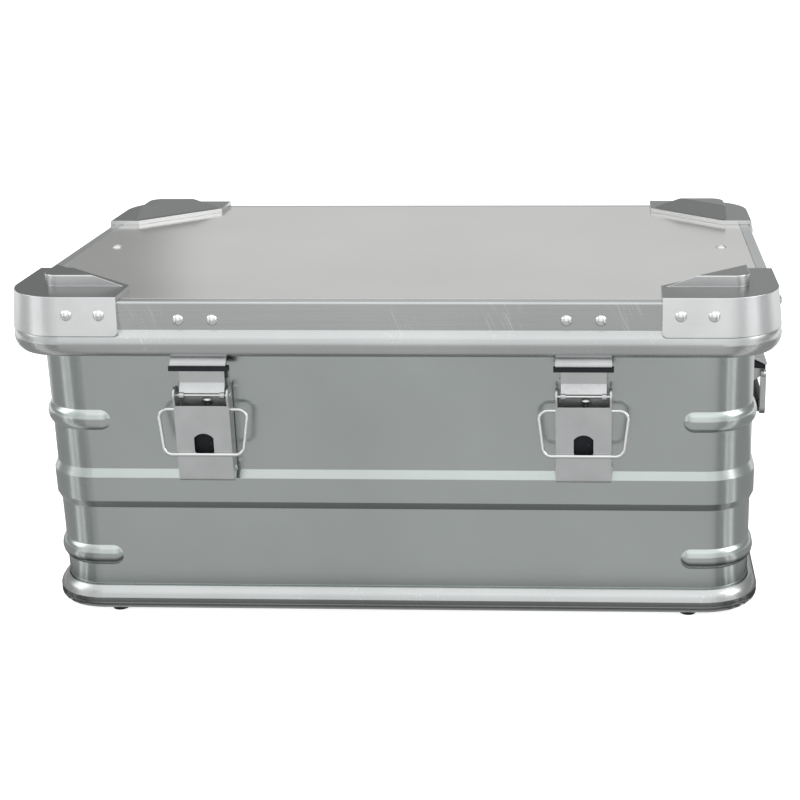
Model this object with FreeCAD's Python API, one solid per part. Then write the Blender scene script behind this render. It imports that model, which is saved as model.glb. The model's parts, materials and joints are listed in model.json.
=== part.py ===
"""Aluminium transport case: a beaded sheet tub with a base frame, and a hinged lid with an
extruded frame, stacking corner caps, two lever latches and two drop handles.

Millimetres. X is right, Y is back, Z is up. The origin is at the centre of the footprint,
on the surface that the feet stand on. The lid opens at the front (-Y) about the rear hinges.
"""
import FreeCAD
import Part
import math
import os

V = FreeCAD.Vector
X_AXIS, Y_AXIS, Z_AXIS = V(1, 0, 0), V(0, 1, 0), V(0, 0, 1)
OUT = "parts"

# ---- driving dimensions ------------------------------------------------------------------
LID_W, LID_D, LID_R = 600.0, 400.0, 48.0          # over the lid's bumper
TUB_W, TUB_D, TUB_R = 561.0, 361.0, 38.0          # over the flat of the tub wall
SHEET = 1.2                                       # tub wall and lid panel
FLOOR_T = 1.5

FOOT_H = 2.5
FRAME_TOP = 21.0                                  # base frame
LEDGE_Z = 9.2                                     # ledge that carries the floor and the wall
WALL_TOP = 238.0
RIM_TOP = 244.0                                   # the tub's upper edge, under the seal
LID_BOTTOM = 217.9
BUMPER_TOP, BUMPER_IN = 237.9, 4.6                 # and how far its round's ends lie in
LID_TOP = 260.6

BAND_LOW, BAND_HIGH = 88.0, 121.0                 # raised band all round, over its slopes
BAND_SLOPE, BAND_OUT = 6.5, 3.0
BEAD_HEIGHT, BEAD_OUT = 16.5, 3.5                 # short beads round the corners
BEAD_LEVELS = (47.0, 161.5)
BEAD_STRAIGHT = 10.0                              # straight part, up to its round end

BAND_U = -5.2                                     # flat band of the lid frame, from the bumper
FRAME_INNER_U = -7.0
PANEL_U = -15.0                                   # edge of the lid's panel, inside the frame
CAP_LOW_U, CAP_TOP_U, CAP_T = -0.3, -3.6, 3.8     # corner cap's flared outside, and its top
CAP_BOTTOM = 234.4
CAP_X, CAP_Y = 206.0, 97.0                        # where a cap ends on the long and short side
CAP_CUT_X, CAP_CUT_Y = 270.0, 158.0               # ends of its diagonal edge
BOSS_X, BOSS_Y, BOSS_H, BOSS_RAMP = 274.0, 161.5, 9.0, 17.0
BOSS_R = 12.0

RIVET_R, RIVET_H = 4.4, 2.4
LATCH_X = 147.2
LATCH_RIVET_X = 13.0
STRIKE_RIVET_Z, CAP_RIVET_Z = 246.2, 250.5
CAP_RIVETS = (55.3, 80.2)                         # from the lid's corner, along each side
STAY_X, STAY_HALF, STAY_T = 262.3, 9.0, 1.4       # lid stay strap
STAY_LOW, STAY_HIGH = 220.8, 258.3                # its two ends
LID_OPEN = 100.0

PIVOT_Y, PIVOT_Z, PIVOT_R = -187.5, 125.0, 1.5    # the pin that the lever swings out on
LATCH_Y, LATCH_Z = -190.5, 185.3                  # the rod in the lever that the claw turns on
ROD_R = 1.25
BORE_GAP = 0.06
EAR_R = 7.6
LEVER_W, LEVER_T = 43.0, 1.5
LEVER_FACE = -196.5
LEVER_TOP, LEVER_BOTTOM = 178.2, 116.6
BAIL_R = 1.5
BAIL_Y, BAIL_Z = -192.5, 174.5

HINGE_X, HINGE_W = 150.0, 60.0
HINGE_Y, HINGE_Z = 193.5, 211.0
KNUCKLE_R, HINGE_PIN_R = 4.5, 2.0

HANDLE_X, HANDLE_Z, HANDLE_PIN_R = 296.5, 166.0, 1.4   # the pin that the handle hangs on
HANDLE_INNER, HANDLE_OUTER = 57.0, 63.5           # the bow's arms, from the middle
HANDLE_BOTTOM, HANDLE_BAR = 129.5, 9.0


# ---- helpers -------------------------------------------------------------------------------
def wire_of(points):
    """Closed wire through 3-D points. An item that is a pair (mid, end) is an arc."""
    edges = []
    here = points[0]
    for item in points[1:] + [points[0]]:
        if isinstance(item, tuple):
            edges.append(Part.Arc(here, item[0], item[1]).toShape())
            here = item[1]
        elif item.distanceToPoint(here) > 1e-6:
            edges.append(Part.LineSegment(here, item).toShape())
            here = item
    return Part.Wire(edges)


def mapped(profile, place):
    """The profile's (a, b) points put in space by place; arcs are ((a, b), (a, b))."""
    return [
        tuple(place(*q) for q in p) if isinstance(p[0], tuple) else place(*p) for p in profile
    ]


def prism(profile, place, direction):
    """Solid made by pushing a profile, put in space by place, along direction."""
    return Part.Face(wire_of(mapped(profile, place))).extrude(direction)


def side_prism(profile, x0, x1):
    """Profile in (y, z), pushed along X from x0 to x1."""
    return prism(profile, lambda y, z: V(x0, y, z), V(x1 - x0, 0, 0))


def end_prism(profile, y0, y1):
    """Profile in (x, z), pushed along Y from y0 to y1."""
    return prism(profile, lambda x, z: V(x, y0, z), V(0, y1 - y0, 0))


def plan_prism(profile, z0, z1):
    """Profile in (x, y), pushed along Z from z0 to z1."""
    return prism(profile, lambda x, y: V(x, y, z0), V(0, 0, z1 - z0))


def box(x0, x1, y0, y1, z0, z1):
    return Part.makeBox(x1 - x0, y1 - y0, z1 - z0, V(x0, y0, z0))


def rod(x0, x1, y, z, r):
    """Cylinder along X."""
    return Part.makeCylinder(r, x1 - x0, V(x0, y, z), X_AXIS)


def rod_y(y0, y1, x, z, r):
    """Cylinder along Y."""
    return Part.makeCylinder(r, y1 - y0, V(x, y0, z), Y_AXIS)


def rounded_block(w, d, r, z0, z1):
    """Upright block with a rounded rectangle as its plan."""
    block = Part.makeBox(w, d, z1 - z0, V(-w / 2, -d / 2, z0))
    upright = [e for e in block.Edges if abs(e.tangentAt(e.FirstParameter).z) > 0.99]
    return block.makeFillet(r, upright)


def ring(profile, w, d, r):
    """Profile in (u, z) carried round a rounded rectangle; u points out of it."""
    pieces = []
    for turn, length, reach in ((0, w, d), (90, d, w), (180, w, d), (270, d, w)):
        straight = prism(
            profile, lambda u, z: V(-length / 2 + r, -reach / 2 - u, z), V(length - 2 * r, 0, 0)
        )
        centre = V(length / 2 - r, -reach / 2 + r, 0)
        section = Part.Face(
            wire_of(mapped(profile, lambda u, z: V(centre.x, centre.y - r - u, z)))
        )
        corner = section.revolve(centre, Z_AXIS, 90)
        for piece in (straight, corner):
            piece.rotate(V(0, 0, 0), Z_AXIS, turn)
            pieces.append(piece)
    return pieces[0].multiFuse(pieces[1:]).removeSplitter()


def joined(shapes):
    return shapes[0].multiFuse(shapes[1:]).removeSplitter() if len(shapes) > 1 else shapes[0]


def group(shapes):
    return Part.makeCompound(shapes)


def mirrored(shape, across_x=False, across_y=False):
    """Copy of a shape mirrored left to right and, or, front to back."""
    if across_x:
        shape = shape.mirror(V(0, 0, 0), X_AXIS)
    if across_y:
        shape = shape.mirror(V(0, 0, 0), Y_AXIS)
    return shape


def rivet(at, out, r=RIVET_R, h=RIVET_H):
    """Domed rivet head standing on a face at a point, facing out."""
    ball = (r * r + h * h) / (2 * h)
    dome = Part.makeSphere(ball, at - out * (ball - h))
    keep = Part.makeCylinder(r + 1, h + 1, at, out)
    return dome.common(keep)


# ---- tub -------------------------------------------------------------------------------------
def corner_beads(depth, sheet):
    """Filled lens-shaped beads round the four corners. depth is how deep their axis lies
    under the wall's outside, and sheet how far inside the outer surface this one is."""
    half = BEAD_HEIGHT / 2
    radius = (half * half + BEAD_OUT * BEAD_OUT) / (2 * BEAD_OUT) - sheet
    beads = []
    for level in BEAD_LEVELS:
        cx, cy = TUB_W / 2 - TUB_R, -TUB_D / 2 + TUB_R
        axis_r = TUB_R - depth
        for turn, length in ((0, BEAD_STRAIGHT), (90, BEAD_STRAIGHT)):
            start = V(cx, cy - axis_r, level) if turn == 0 else V(cx + axis_r, cy, level)
            away = V(-1, 0, 0) if turn == 0 else V(0, 1, 0)
            beads.append(Part.makeCylinder(radius, length, start, away))
            end = start + away * length
            beads.append(Part.makeSphere(radius, end))
        circle = Part.Face(Part.Wire(Part.makeCircle(radius, V(cx, cy - axis_r, level), X_AXIS)))
        beads.append(circle.revolve(V(cx, cy, 0), Z_AXIS, 90))
    one = joined(beads[:5]), joined(beads[5:])
    return [
        mirrored(b, across_x, across_y)
        for b in one
        for across_x in (False, True)
        for across_y in (False, True)
    ]


def wall_form(sheet):
    """Filled form of the tub wall, this far inside its outer surface."""
    half = BEAD_HEIGHT / 2
    depth = (half * half + BEAD_OUT * BEAD_OUT) / (2 * BEAD_OUT) - BEAD_OUT
    bottom = LEDGE_Z if sheet == 0 else LEDGE_Z - 1
    top = WALL_TOP if sheet == 0 else WALL_TOP + 1
    form = rounded_block(TUB_W - 2 * sheet, TUB_D - 2 * sheet, TUB_R - sheet, bottom, top)
    slope = [
        (-5, BAND_LOW + sheet / 2),
        (-sheet, BAND_LOW + sheet / 2),
        (BAND_OUT - sheet, BAND_LOW + BAND_SLOPE + sheet / 2),
        (BAND_OUT - sheet, BAND_HIGH - BAND_SLOPE - sheet / 2),
        (-sheet, BAND_HIGH - sheet / 2),
        (-5, BAND_HIGH - sheet / 2),
    ]
    return joined([form, ring(slope, TUB_W, TUB_D, TUB_R)] + corner_beads(depth, sheet))


def tub_wall():
    return wall_form(0).cut(wall_form(SHEET)).removeSplitter()


def tub_floor():
    gap = SHEET + 0.05
    return rounded_block(
        TUB_W - 2 * gap, TUB_D - 2 * gap, TUB_R - gap, LEDGE_Z, LEDGE_Z + FLOOR_T
    )


def base_frame():
    """Rounded extrusion round the bottom, with a ledge inside for the wall and the floor."""
    profile = [
        (-10.5, FOOT_H),
        (4.0, FOOT_H),
        ((7.1, 4.4), (8.0, 8.5)),
        (8.0, 12.5),
        ((6.2, 17.0), (2.4, FRAME_TOP)),
        (1.1, FRAME_TOP),
        (0.05, FRAME_TOP - 1.6),
        (0.05, LEDGE_Z),
        (-10.5, LEDGE_Z),
    ]
    return ring(profile, TUB_W, TUB_D, TUB_R)


def tub_rim():
    """Channel that caps the wall's upper edge and takes the seal."""
    slot_top = WALL_TOP + 0.2
    profile = [
        (-7.5, RIM_TOP - 1),
        ((-7.2, RIM_TOP - 0.3), (-6.5, RIM_TOP)),
        (1.2, RIM_TOP),
        ((1.9, RIM_TOP - 0.3), (2.2, RIM_TOP - 1)),
        (2.2, 232.0),
        (0.05, 232.0),
        (0.05, slot_top),
        (-SHEET - 0.05, slot_top),
        (-SHEET - 0.05, 229.0),
        (-7.5, 229.0),
    ]
    return ring(profile, TUB_W, TUB_D, TUB_R)


FOOT_X, FOOT_Y, FOOT_R = 231.0, 178.0, 6.5


def feet():
    """Round rubber pads under the base frame."""
    return group(
        [
            Part.makeCylinder(FOOT_R, FOOT_H, V(sx * FOOT_X, sy * FOOT_Y, 0), Z_AXIS)
            for sx in (-1, 1)
            for sy in (-1, 1)
        ]
    )


# ---- lid ---------------------------------------------------------------------------------------
def lid_panel():
    inset = 0.05 - PANEL_U
    return rounded_block(
        LID_W - 2 * inset, LID_D - 2 * inset, LID_R - inset, LID_TOP - SHEET, LID_TOP
    )


def bumper_at(share, gap=0.0):
    """Point (u, z) on the bumper's half-round, from its lower end (-1) to its upper end (1)."""
    half = (BUMPER_TOP - LID_BOTTOM) / 2
    r = (half * half + BUMPER_IN * BUMPER_IN) / (2 * BUMPER_IN)
    turn = share * math.asin(half / r)
    return -r + (r + gap) * math.cos(turn), LID_BOTTOM + half + (r + gap) * math.sin(turn)


def lid_frame():
    """Extruded frame: bumper below, flat band above, and a ledge inside for the panel."""
    ledge = LID_TOP - SHEET
    profile = [
        (FRAME_INNER_U, LID_BOTTOM),
        bumper_at(-1),
        (bumper_at(-0.5), bumper_at(0)),
        (bumper_at(0.5), bumper_at(1)),
        (BAND_U, BUMPER_TOP + 0.6),
        (BAND_U, LID_TOP - 2.0),
        ((BAND_U - 0.6, LID_TOP - 0.5), (BAND_U - 2.0, LID_TOP)),
        (PANEL_U + 0.8, LID_TOP),
        (PANEL_U, LID_TOP - 0.8),
        (PANEL_U, ledge),
        (-28.0, ledge),
        (-28.0, ledge - 2.2),
        (FRAME_INNER_U - 3.0, ledge - 2.2),
        ((FRAME_INNER_U - 0.9, ledge - 3.1), (FRAME_INNER_U, ledge - 5.2)),
    ]
    return ring(profile, LID_W, LID_D, LID_R)


def lid_seal():
    """Sponge seal under the frame's ledge, just above the tub's rim."""
    under = LID_TOP - SHEET - 2.2
    profile = [
        (-6.5, under),
        (-6.5, RIM_TOP + 1.8),
        ((-2.65, RIM_TOP + 0.35), (1.2, RIM_TOP + 1.8)),
        (1.2, under),
    ]
    return ring(profile, TUB_W, TUB_D, TUB_R)


def rounded_outline(grow, z):
    """Outline of the lid grown by this much, at a height."""
    block = rounded_block(LID_W + 2 * grow, LID_D + 2 * grow, LID_R + grow, z, z + 1)
    return min(block.Faces, key=lambda face: face.CenterOfMass.z).OuterWire


def corner_cap():
    """Front right stacking cap: flared flange over the lid's edge, plate on it, and a boss."""
    top = LID_TOP + CAP_T
    outer = Part.makeLoft(
        [rounded_outline(CAP_LOW_U, CAP_BOTTOM), rounded_outline(CAP_TOP_U, top)], True, True
    )
    upper = [e for e in outer.Edges if e.BoundBox.ZMin > top - 0.01]
    outer = outer.makeFillet(0.8, upper)
    inset = 0.05 - BAND_U
    inner = rounded_block(
        LID_W - 2 * inset, LID_D - 2 * inset, LID_R - inset, CAP_BOTTOM - 1, LID_TOP + 0.05
    )
    edge_x, edge_y = LID_W / 2 + 1, -LID_D / 2 - 1
    plan = [
        (CAP_X, edge_y),
        (edge_x, edge_y),
        (edge_x, -CAP_Y),
        (CAP_CUT_X, -CAP_Y),
        (CAP_X, -CAP_CUT_Y),
    ]
    cap = outer.cut(inner).common(plan_prism(plan, CAP_BOTTOM - 1, top + 1))
    low_ends = [
        e
        for e in cap.Edges
        if e.BoundBox.ZMax < CAP_BOTTOM + 0.01 and e.Length < CAP_T * 2
    ]
    cap = cap.makeFillet(4.0, low_ends)
    bumper = [
        (FRAME_INNER_U, LID_BOTTOM + 8),
        (0.05, LID_BOTTOM + 8),
        bumper_at(0, 0.05),
        (bumper_at(0.5, 0.05), bumper_at(1, 0.05)),
        (FRAME_INNER_U, BUMPER_TOP + 0.6),
    ]
    return joined([cap.cut(ring(bumper, LID_W, LID_D, LID_R)), stacking_boss(top)])


def stacking_boss(base):
    """Three-cornered boss with steep outer sides and a ramp on its inner side."""
    tip_x, tip_y = CAP_X + 3.5, CAP_Y + 3.5
    mid = BOSS_R * (1 - math.sqrt(0.5))
    outline = [
        (tip_x, -BOSS_Y),
        (BOSS_X - BOSS_R, -BOSS_Y),
        ((BOSS_X - mid, -BOSS_Y + mid), (BOSS_X, -BOSS_Y + BOSS_R)),
        (BOSS_X, -tip_y),
    ]
    boss = plan_prism(outline, base - 1, base + BOSS_H)
    rounded = [
        e for e in boss.Edges if e.BoundBox.ZMin > base + BOSS_H - 0.01 and not on_ramp(e, tip_x)
    ]
    boss = boss.makeFillet(1.2, rounded)
    along = V(BOSS_X - tip_x, BOSS_Y - tip_y, 0).normalize()
    inward = V(along.y, -along.x, 0)
    start = V(tip_x, -BOSS_Y, 0) - along * 60
    rise = BOSS_H / BOSS_RAMP
    ramp = [(-60, base), (0, base), (40, base + 40 * rise), (-60, base + 40 * rise)]
    cutter = prism(ramp, lambda s, z: start + inward * s + V(0, 0, z), along * 250)
    lower = box(tip_x - 9, BOSS_X + 9, -BOSS_Y - 9, -tip_y + 9, base - 2, base)
    return boss.cut(cutter).cut(lower)


def on_ramp(edge, tip_x):
    """True for the edge of the boss's top along its diagonal side."""
    a, b = (v.Point for v in edge.Vertexes[:2])
    return abs(a.x - b.x) > 20 and abs(a.y - b.y) > 20


def cap_rivets():
    lean = (CAP_LOW_U - CAP_TOP_U) / (LID_TOP + CAP_T - CAP_BOTTOM)
    u = CAP_LOW_U - lean * (CAP_RIVET_Z - CAP_BOTTOM)
    face_y, face_x = LID_D / 2 + u, LID_W / 2 + u
    heads = []
    for from_corner in CAP_RIVETS:
        x, y = LID_W / 2 - from_corner, LID_D / 2 - from_corner
        for sx in (-1, 1):
            for sy in (-1, 1):
                for at, out in (
                    (V(sx * x, sy * face_y, CAP_RIVET_Z), V(0, sy, lean)),
                    (V(sx * face_x, sy * y, CAP_RIVET_Z), V(sx, 0, lean)),
                ):
                    heads.append(rivet(at, out.normalize()))
    return group(heads)


def band_rivets():
    """Heads on the lid's band that hold the strikes in front and the hinges behind."""
    face_y = LID_D / 2 + BAND_U
    return group(
        [
            rivet(V(side * middle + step, sy * face_y, STRIKE_RIVET_Z), V(0, sy, 0))
            for sy, middle in ((-1, LATCH_X), (1, HINGE_X))
            for side in (-1, 1)
            for step in (-LATCH_RIVET_X, LATCH_RIVET_X)
        ]
    )


def stay_rivets():
    return group([rivet(V(s * STAY_X, 0, LID_TOP), Z_AXIS, 4.6, 2.2) for s in (-1, 1)])


def strike(x):
    """Sheet catch inside the lid frame, whose lower end slants outwards under the bumper."""
    inner = -LID_D / 2 - FRAME_INNER_U + 0.05
    leg = [
        (inner, 254.0),
        (inner, LID_BOTTOM - 0.2),
        (inner - 4.6, 212.6),
        ((inner - 5.0, 210.9), (inner - 3.4, 211.0)),
        (inner + 1.6, LID_BOTTOM - 0.6),
        (inner + 1.6, 254.0),
    ]
    return side_prism(leg, x - 21.5, x + 21.5)


def strike_buffer(x):
    """Black rubber strip under the catch's lip."""
    profile = [
        (-197.2, 206.5),
        (-192.6, 206.5),
        ((-192.0, 206.7), (-191.8, 207.3)),
        (-191.8, 215.0),
        (-195.2, 210.6),
        (-195.2, 210.0),
        (-197.2, 210.0),
    ]
    lower = [(-197.2, 206.5), (-191.8, 206.5), (-191.8, 210.0), (-197.2, 210.0)]
    strip = side_prism(lower, x - 23.0, x + 23.0)
    return joined([side_prism(profile, x - 21.0, x + 21.0), strip])


# ---- latches -----------------------------------------------------------------------------------
def latch_base(x):
    """Plate on the wall with two lugs at its foot that hold the lever's pin."""
    wall = -TUB_D / 2 - 0.05
    face = wall - 1.8
    shape = [box(x - 19.5, x + 19.5, face, wall, PIVOT_Z - 3.6, 197.0)]
    lug = [
        (face + 0.5, PIVOT_Z + 8.0),
        (face - 0.5, PIVOT_Z + 8.0),
        (PIVOT_Y, PIVOT_Z + 3.6),
        ((PIVOT_Y - 3.6, PIVOT_Z), (PIVOT_Y, PIVOT_Z - 3.6)),
        (face + 0.5, PIVOT_Z - 3.6),
    ]
    for side in (-1, 1):
        x0 = x + side * 18.7 - 0.8
        shape.append(side_prism(lug, x0, x0 + 1.6))
    bore = rod(x - 30, x + 30, PIVOT_Y, PIVOT_Z, PIVOT_R + BORE_GAP)
    return joined(shape).cut(bore)


def latch_pivot(x):
    """Pin through the base's lugs and the foot of the lever, with a head at each end."""
    ends = [x - LEVER_W / 2 - 0.1, x + LEVER_W / 2 + 0.1]
    shape = [rod(ends[0] - 0.5, ends[1] + 0.5, PIVOT_Y, PIVOT_Z, PIVOT_R)]
    for end, out in ((ends[0], -1), (ends[1], 1)):
        shape.append(rivet(V(end, PIVOT_Y, PIVOT_Z), V(out, 0, 0), 2.8, 1.2))
    return joined(shape)


def latch_base_rivets():
    """Heads inside each latch: one behind the window under the rod, two lower down."""
    face = -TUB_D / 2 - 1.85
    return group(
        [
            rivet(V(side * LATCH_X + dx, face, z), V(0, -1, 0))
            for side in (-1, 1)
            for dx, z in ((1.5, 178.5), (-11.0, 131.0), (11.0, 131.0))
        ]
    )


def latch_buffer(x):
    """Black rubber stop that the lever closes on, seen through its arched opening."""
    face = -TUB_D / 2 - 1.85
    return box(x - 9.5, x + 9.5, face - 9.0, face, 137.0, 157.0)


def latch_rod(x):
    """Rod through the lever's round ears, with a button head at each end."""
    ends = [x - LEVER_W / 2 - 0.1, x + LEVER_W / 2 + 0.1]
    shape = [rod(ends[0] - 0.5, ends[1] + 0.5, LATCH_Y, LATCH_Z, ROD_R)]
    for end, out in ((ends[0], -1), (ends[1], 1)):
        shape.append(rivet(V(end, LATCH_Y, LATCH_Z), V(out, 0, 0), 2.5, 1.2))
    return joined(shape)


def latch_lever(x):
    """Pressed lever: face with an arched opening, two flanges with ears, and a turned-in foot."""
    half = LEVER_W / 2
    back = -182.6
    skin = LEVER_FACE + LEVER_T
    face = [
        (LEVER_FACE, LEVER_TOP),
        (LEVER_FACE, LEVER_BOTTOM + 3.0),
        ((LEVER_FACE + 0.88, LEVER_BOTTOM + 0.88), (LEVER_FACE + 3.0, LEVER_BOTTOM)),
        (-189.0, LEVER_BOTTOM),
        (-189.0, LEVER_BOTTOM + LEVER_T),
        (LEVER_FACE + 3.0, LEVER_BOTTOM + LEVER_T),
        ((skin + 0.44, LEVER_BOTTOM + 1.94), (skin, LEVER_BOTTOM + 3.0)),
        (skin, LEVER_TOP),
    ]
    ear = [
        (LEVER_FACE, LEVER_TOP - 1.0),
        (LEVER_FACE, LEVER_BOTTOM + 3.0),
        ((LEVER_FACE + 0.88, LEVER_BOTTOM + 0.88), (LEVER_FACE + 3.0, LEVER_BOTTOM)),
        (-189.0, LEVER_BOTTOM),
        (back, 129.0),
        (back, 178.0),
        (LATCH_Y + EAR_R, LATCH_Z),
        ((LATCH_Y, LATCH_Z + EAR_R), (LATCH_Y - EAR_R, LATCH_Z)),
        ((LATCH_Y - EAR_R + 0.4, LATCH_Z - 3.2), (LEVER_FACE, LEVER_TOP - 1.0)),
    ]
    shape = [side_prism(face, x - half, x + half)]
    for x0 in (x - half, x + half - LEVER_T):
        shape.append(side_prism(ear, x0, x0 + LEVER_T))
    lever = joined(shape)
    arch = [
        (x - 7.6, 152.2),
        (x - 7.6, 141.4),
        ((x, 137.4), (x + 7.6, 141.4)),
        (x + 7.6, 152.2),
        ((x, 156.0), (x - 7.6, 152.2)),
    ]
    holes = [
        end_prism(arch, LEVER_FACE - 1, skin + 1),
        rod(x - 30, x + 30, LATCH_Y, LATCH_Z, ROD_R + BORE_GAP),
        rod(x - 30, x + 30, BAIL_Y, BAIL_Z, BAIL_R + BORE_GAP),
        rod(x - 30, x + 30, PIVOT_Y, PIVOT_Z, PIVOT_R + BORE_GAP),
    ]
    return lever.cut(joined(holes))


def latch_claw(x):
    """Claw on the rod: two knuckles and a plate that rises to the catch's lip."""
    plate = [
        (-191.9, 187.4),
        (-190.5, 187.4),
        (-186.3, 194.2),
        (-186.3, 204.5),
        (-187.9, 204.5),
        (-187.9, 194.7),
    ]
    shape = [side_prism(plate, x - 17.6, x + 17.6)]
    for x0 in (x - 17.6, x + 14.0):
        shape.append(rod(x0, x0 + 3.6, LATCH_Y, LATCH_Z, 2.9))
    bore = rod(x - 30, x + 30, LATCH_Y, LATCH_Z, ROD_R + BORE_GAP)
    return joined(shape).cut(bore)


def bail(x):
    """Wire pull: its ends turn in the lever's flanges and its bar lies over the lever's face."""
    lean = (BAIL_Y - (LEVER_FACE - BAIL_R - 0.4)) / 35.0
    corners = [(20.0, 0.0, 0.0), (35.2, 0.0, 7.0), (30.8, -35.0, 7.0)]

    def at(side, drop):
        return V(x + side, BAIL_Y + lean * drop, BAIL_Z + drop)

    right = [at(a, b) for a, b, _ in corners]
    left = [at(-a, b) for a, b, _ in reversed(corners)]
    radii = [r for _, _, r in corners] + [r for _, _, r in reversed(corners)]
    return tube_along(right + left, radii, BAIL_R)


def tube_along(points, radii, tube_r):
    """Round wire through points, with an arc of the given radius at each inner one."""
    edges = []
    here = points[0]
    for before, corner, after, radius in zip(points, points[1:], points[2:], radii[1:]):
        into = (before - corner).normalize()
        out = (after - corner).normalize()
        half = into.getAngle(out) / 2
        reach = radius / math.tan(half)
        first, last = corner + into * reach, corner + out * reach
        middle = corner + (into + out).normalize() * (radius / math.sin(half) - radius)
        edges.append(Part.LineSegment(here, first).toShape())
        edges.append(Part.Arc(first, middle, last).toShape())
        here = last
    edges.append(Part.LineSegment(here, points[-1]).toShape())
    path = Part.Wire(edges)
    start = Part.Wire(Part.makeCircle(tube_r, points[0], points[1] - points[0]))
    return path.makePipeShell([start], True, False)


# ---- hinges ------------------------------------------------------------------------------------
def hinge_knuckles(x, which):
    """Barrels of one leaf: the outer two for the tub's leaf, the middle one for the lid's."""
    third = HINGE_W / 3
    gap = 0.2
    spans = ((-1.5, -0.5), (0.5, 1.5)) if which == "tub" else ((-0.5, 0.5),)
    return [
        (x + a * third + gap, x + b * third - gap)
        for a, b in spans
    ]


def hinge_bore(x):
    return rod(x - 40, x + 40, HINGE_Y, HINGE_Z, HINGE_PIN_R + BORE_GAP)


def hinge_leaf_tub(x):
    """Leaf on the rear wall, joggled out to the barrel."""
    wall = TUB_D / 2 + 0.05
    shape = [box(x - 30, x + 30, wall, wall + 2.0, 172.0, 204.0)]
    arm = [
        (wall, 204.0),
        (wall, 200.0),
        (wall + 2.0, 200.0),
        (HINGE_Y, HINGE_Z - KNUCKLE_R),
        (HINGE_Y - 3.5, HINGE_Z + 1.5),
    ]
    for x0, x1 in hinge_knuckles(x, "tub"):
        shape.append(rod(x0, x1, HINGE_Y, HINGE_Z, KNUCKLE_R))
        shape.append(side_prism(arm, x0, x1))
    return joined(shape).cut(hinge_bore(x))


def hinge_leaf_lid(x):
    """Leaf inside the lid's rear frame, with the middle barrel below it."""
    outside = LID_D / 2 + FRAME_INNER_U - 0.05
    shape = [box(x - 30, x + 30, outside - 2.0, outside, 222.0, 254.0)]
    for x0, x1 in hinge_knuckles(x, "lid"):
        shape.append(rod(x0, x1, HINGE_Y, HINGE_Z, KNUCKLE_R))
        shape.append(box(x0, x1, outside - 2.0, outside, HINGE_Z + 2.0, 222.0))
    return joined(shape).cut(hinge_bore(x))


def hinge_pin(x):
    ends = x - HINGE_W / 2 - 0.1, x + HINGE_W / 2 + 0.1
    shape = [rod(ends[0], ends[1], HINGE_Y, HINGE_Z, HINGE_PIN_R)]
    for end, out in ((ends[0], -1), (ends[1], 1)):
        shape.append(rivet(V(end, HINGE_Y, HINGE_Z), V(out, 0, 0), 3.2, 1.4))
    return joined(shape)


def hinge_rivets():
    face = TUB_D / 2 + 2.05
    return group(
        [
            rivet(V(side * HINGE_X + dx, face, z), Y_AXIS)
            for side in (-1, 1)
            for dx in (-18.0, 18.0)
            for z in (180.0, 195.0)
        ]
    )


# ---- drop handles, drawn on the right and mirrored to the left ---------------------------------
def handle_bracket():
    """Plate on the end wall with two cheeks that hold the pin, and a slanted hood over it."""
    wall = TUB_W / 2 + 0.05
    plate = box(wall, wall + 2.0, -74.0, 74.0, 150.0, 184.0)
    cheek = [
        (wall + 1.0, 183.0),
        (298.6, 173.6),
        (298.6, HANDLE_Z - 1.0),
        ((HANDLE_X + 0.7, HANDLE_Z - 3.4), (HANDLE_X - 1.5, HANDLE_Z - 3.6)),
        (wall + 1.0, 153.0),
    ]
    hood = [
        (wall + 1.0, 184.0),
        (wall + 2.5, 184.0),
        (299.2, 175.2),
        (298.4, 173.9),
        (wall + 1.0, 182.2),
    ]
    shape = [plate, end_prism(hood, -HANDLE_OUTER, HANDLE_OUTER)]
    for y0 in (-HANDLE_INNER + 0.6, HANDLE_INNER - 3.1):
        shape.append(end_prism(cheek, y0, y0 + 2.5))
    bore = rod_y(-90, 90, HANDLE_X, HANDLE_Z, HANDLE_PIN_R + BORE_GAP)
    return joined(shape).cut(bore)


def handle_buffer():
    """Black rubber strip under the hood's lip, in three lengths between and beside the cheeks."""
    profile = [(288.0, 177.6), (288.0, 171.4), (297.9, 170.4), (297.9, 173.3)]
    inner = HANDLE_INNER - 3.2
    spans = ((-inner, inner), (HANDLE_INNER - 0.5, HANDLE_OUTER), (-HANDLE_OUTER, -HANDLE_INNER + 0.5))
    return group([end_prism(profile, y0, y1) for y0, y1 in spans])


def handle_pin():
    y = HANDLE_OUTER + 0.1
    shape = [rod_y(-y, y, HANDLE_X, HANDLE_Z, HANDLE_PIN_R)]
    for end, out in ((-y, -1), (y, 1)):
        shape.append(rivet(V(HANDLE_X, end, HANDLE_Z), V(0, out, 0), 2.3, 1.1))
    return joined(shape)


def handle_bow():
    """Flat bow with its arms outside the bracket's cheeks, hung on the pin."""
    x0, x1 = HANDLE_X - 2.25, HANDLE_X + 2.25
    top = HANDLE_Z + 2.2
    y, arm = HANDLE_OUTER, HANDLE_OUTER - HANDLE_INNER
    round_r = 7.0
    mid = round_r * (1 - math.sqrt(0.5))
    loop = [
        (-y, top),
        (-y, HANDLE_BOTTOM + round_r),
        ((-y + mid, HANDLE_BOTTOM + mid), (-y + round_r, HANDLE_BOTTOM)),
        (y - round_r, HANDLE_BOTTOM),
        ((y - mid, HANDLE_BOTTOM + mid), (y, HANDLE_BOTTOM + round_r)),
        (y, top),
        (y - arm, top),
        (y - arm, HANDLE_BOTTOM + HANDLE_BAR),
        (-y + arm, HANDLE_BOTTOM + HANDLE_BAR),
        (-y + arm, top),
    ]
    bow = prism(loop, lambda b, z: V(x0, b, z), V(x1 - x0, 0, 0))
    bore = rod_y(-90, 90, HANDLE_X, HANDLE_Z, HANDLE_PIN_R + BORE_GAP)
    return bow.cut(bore)


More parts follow.
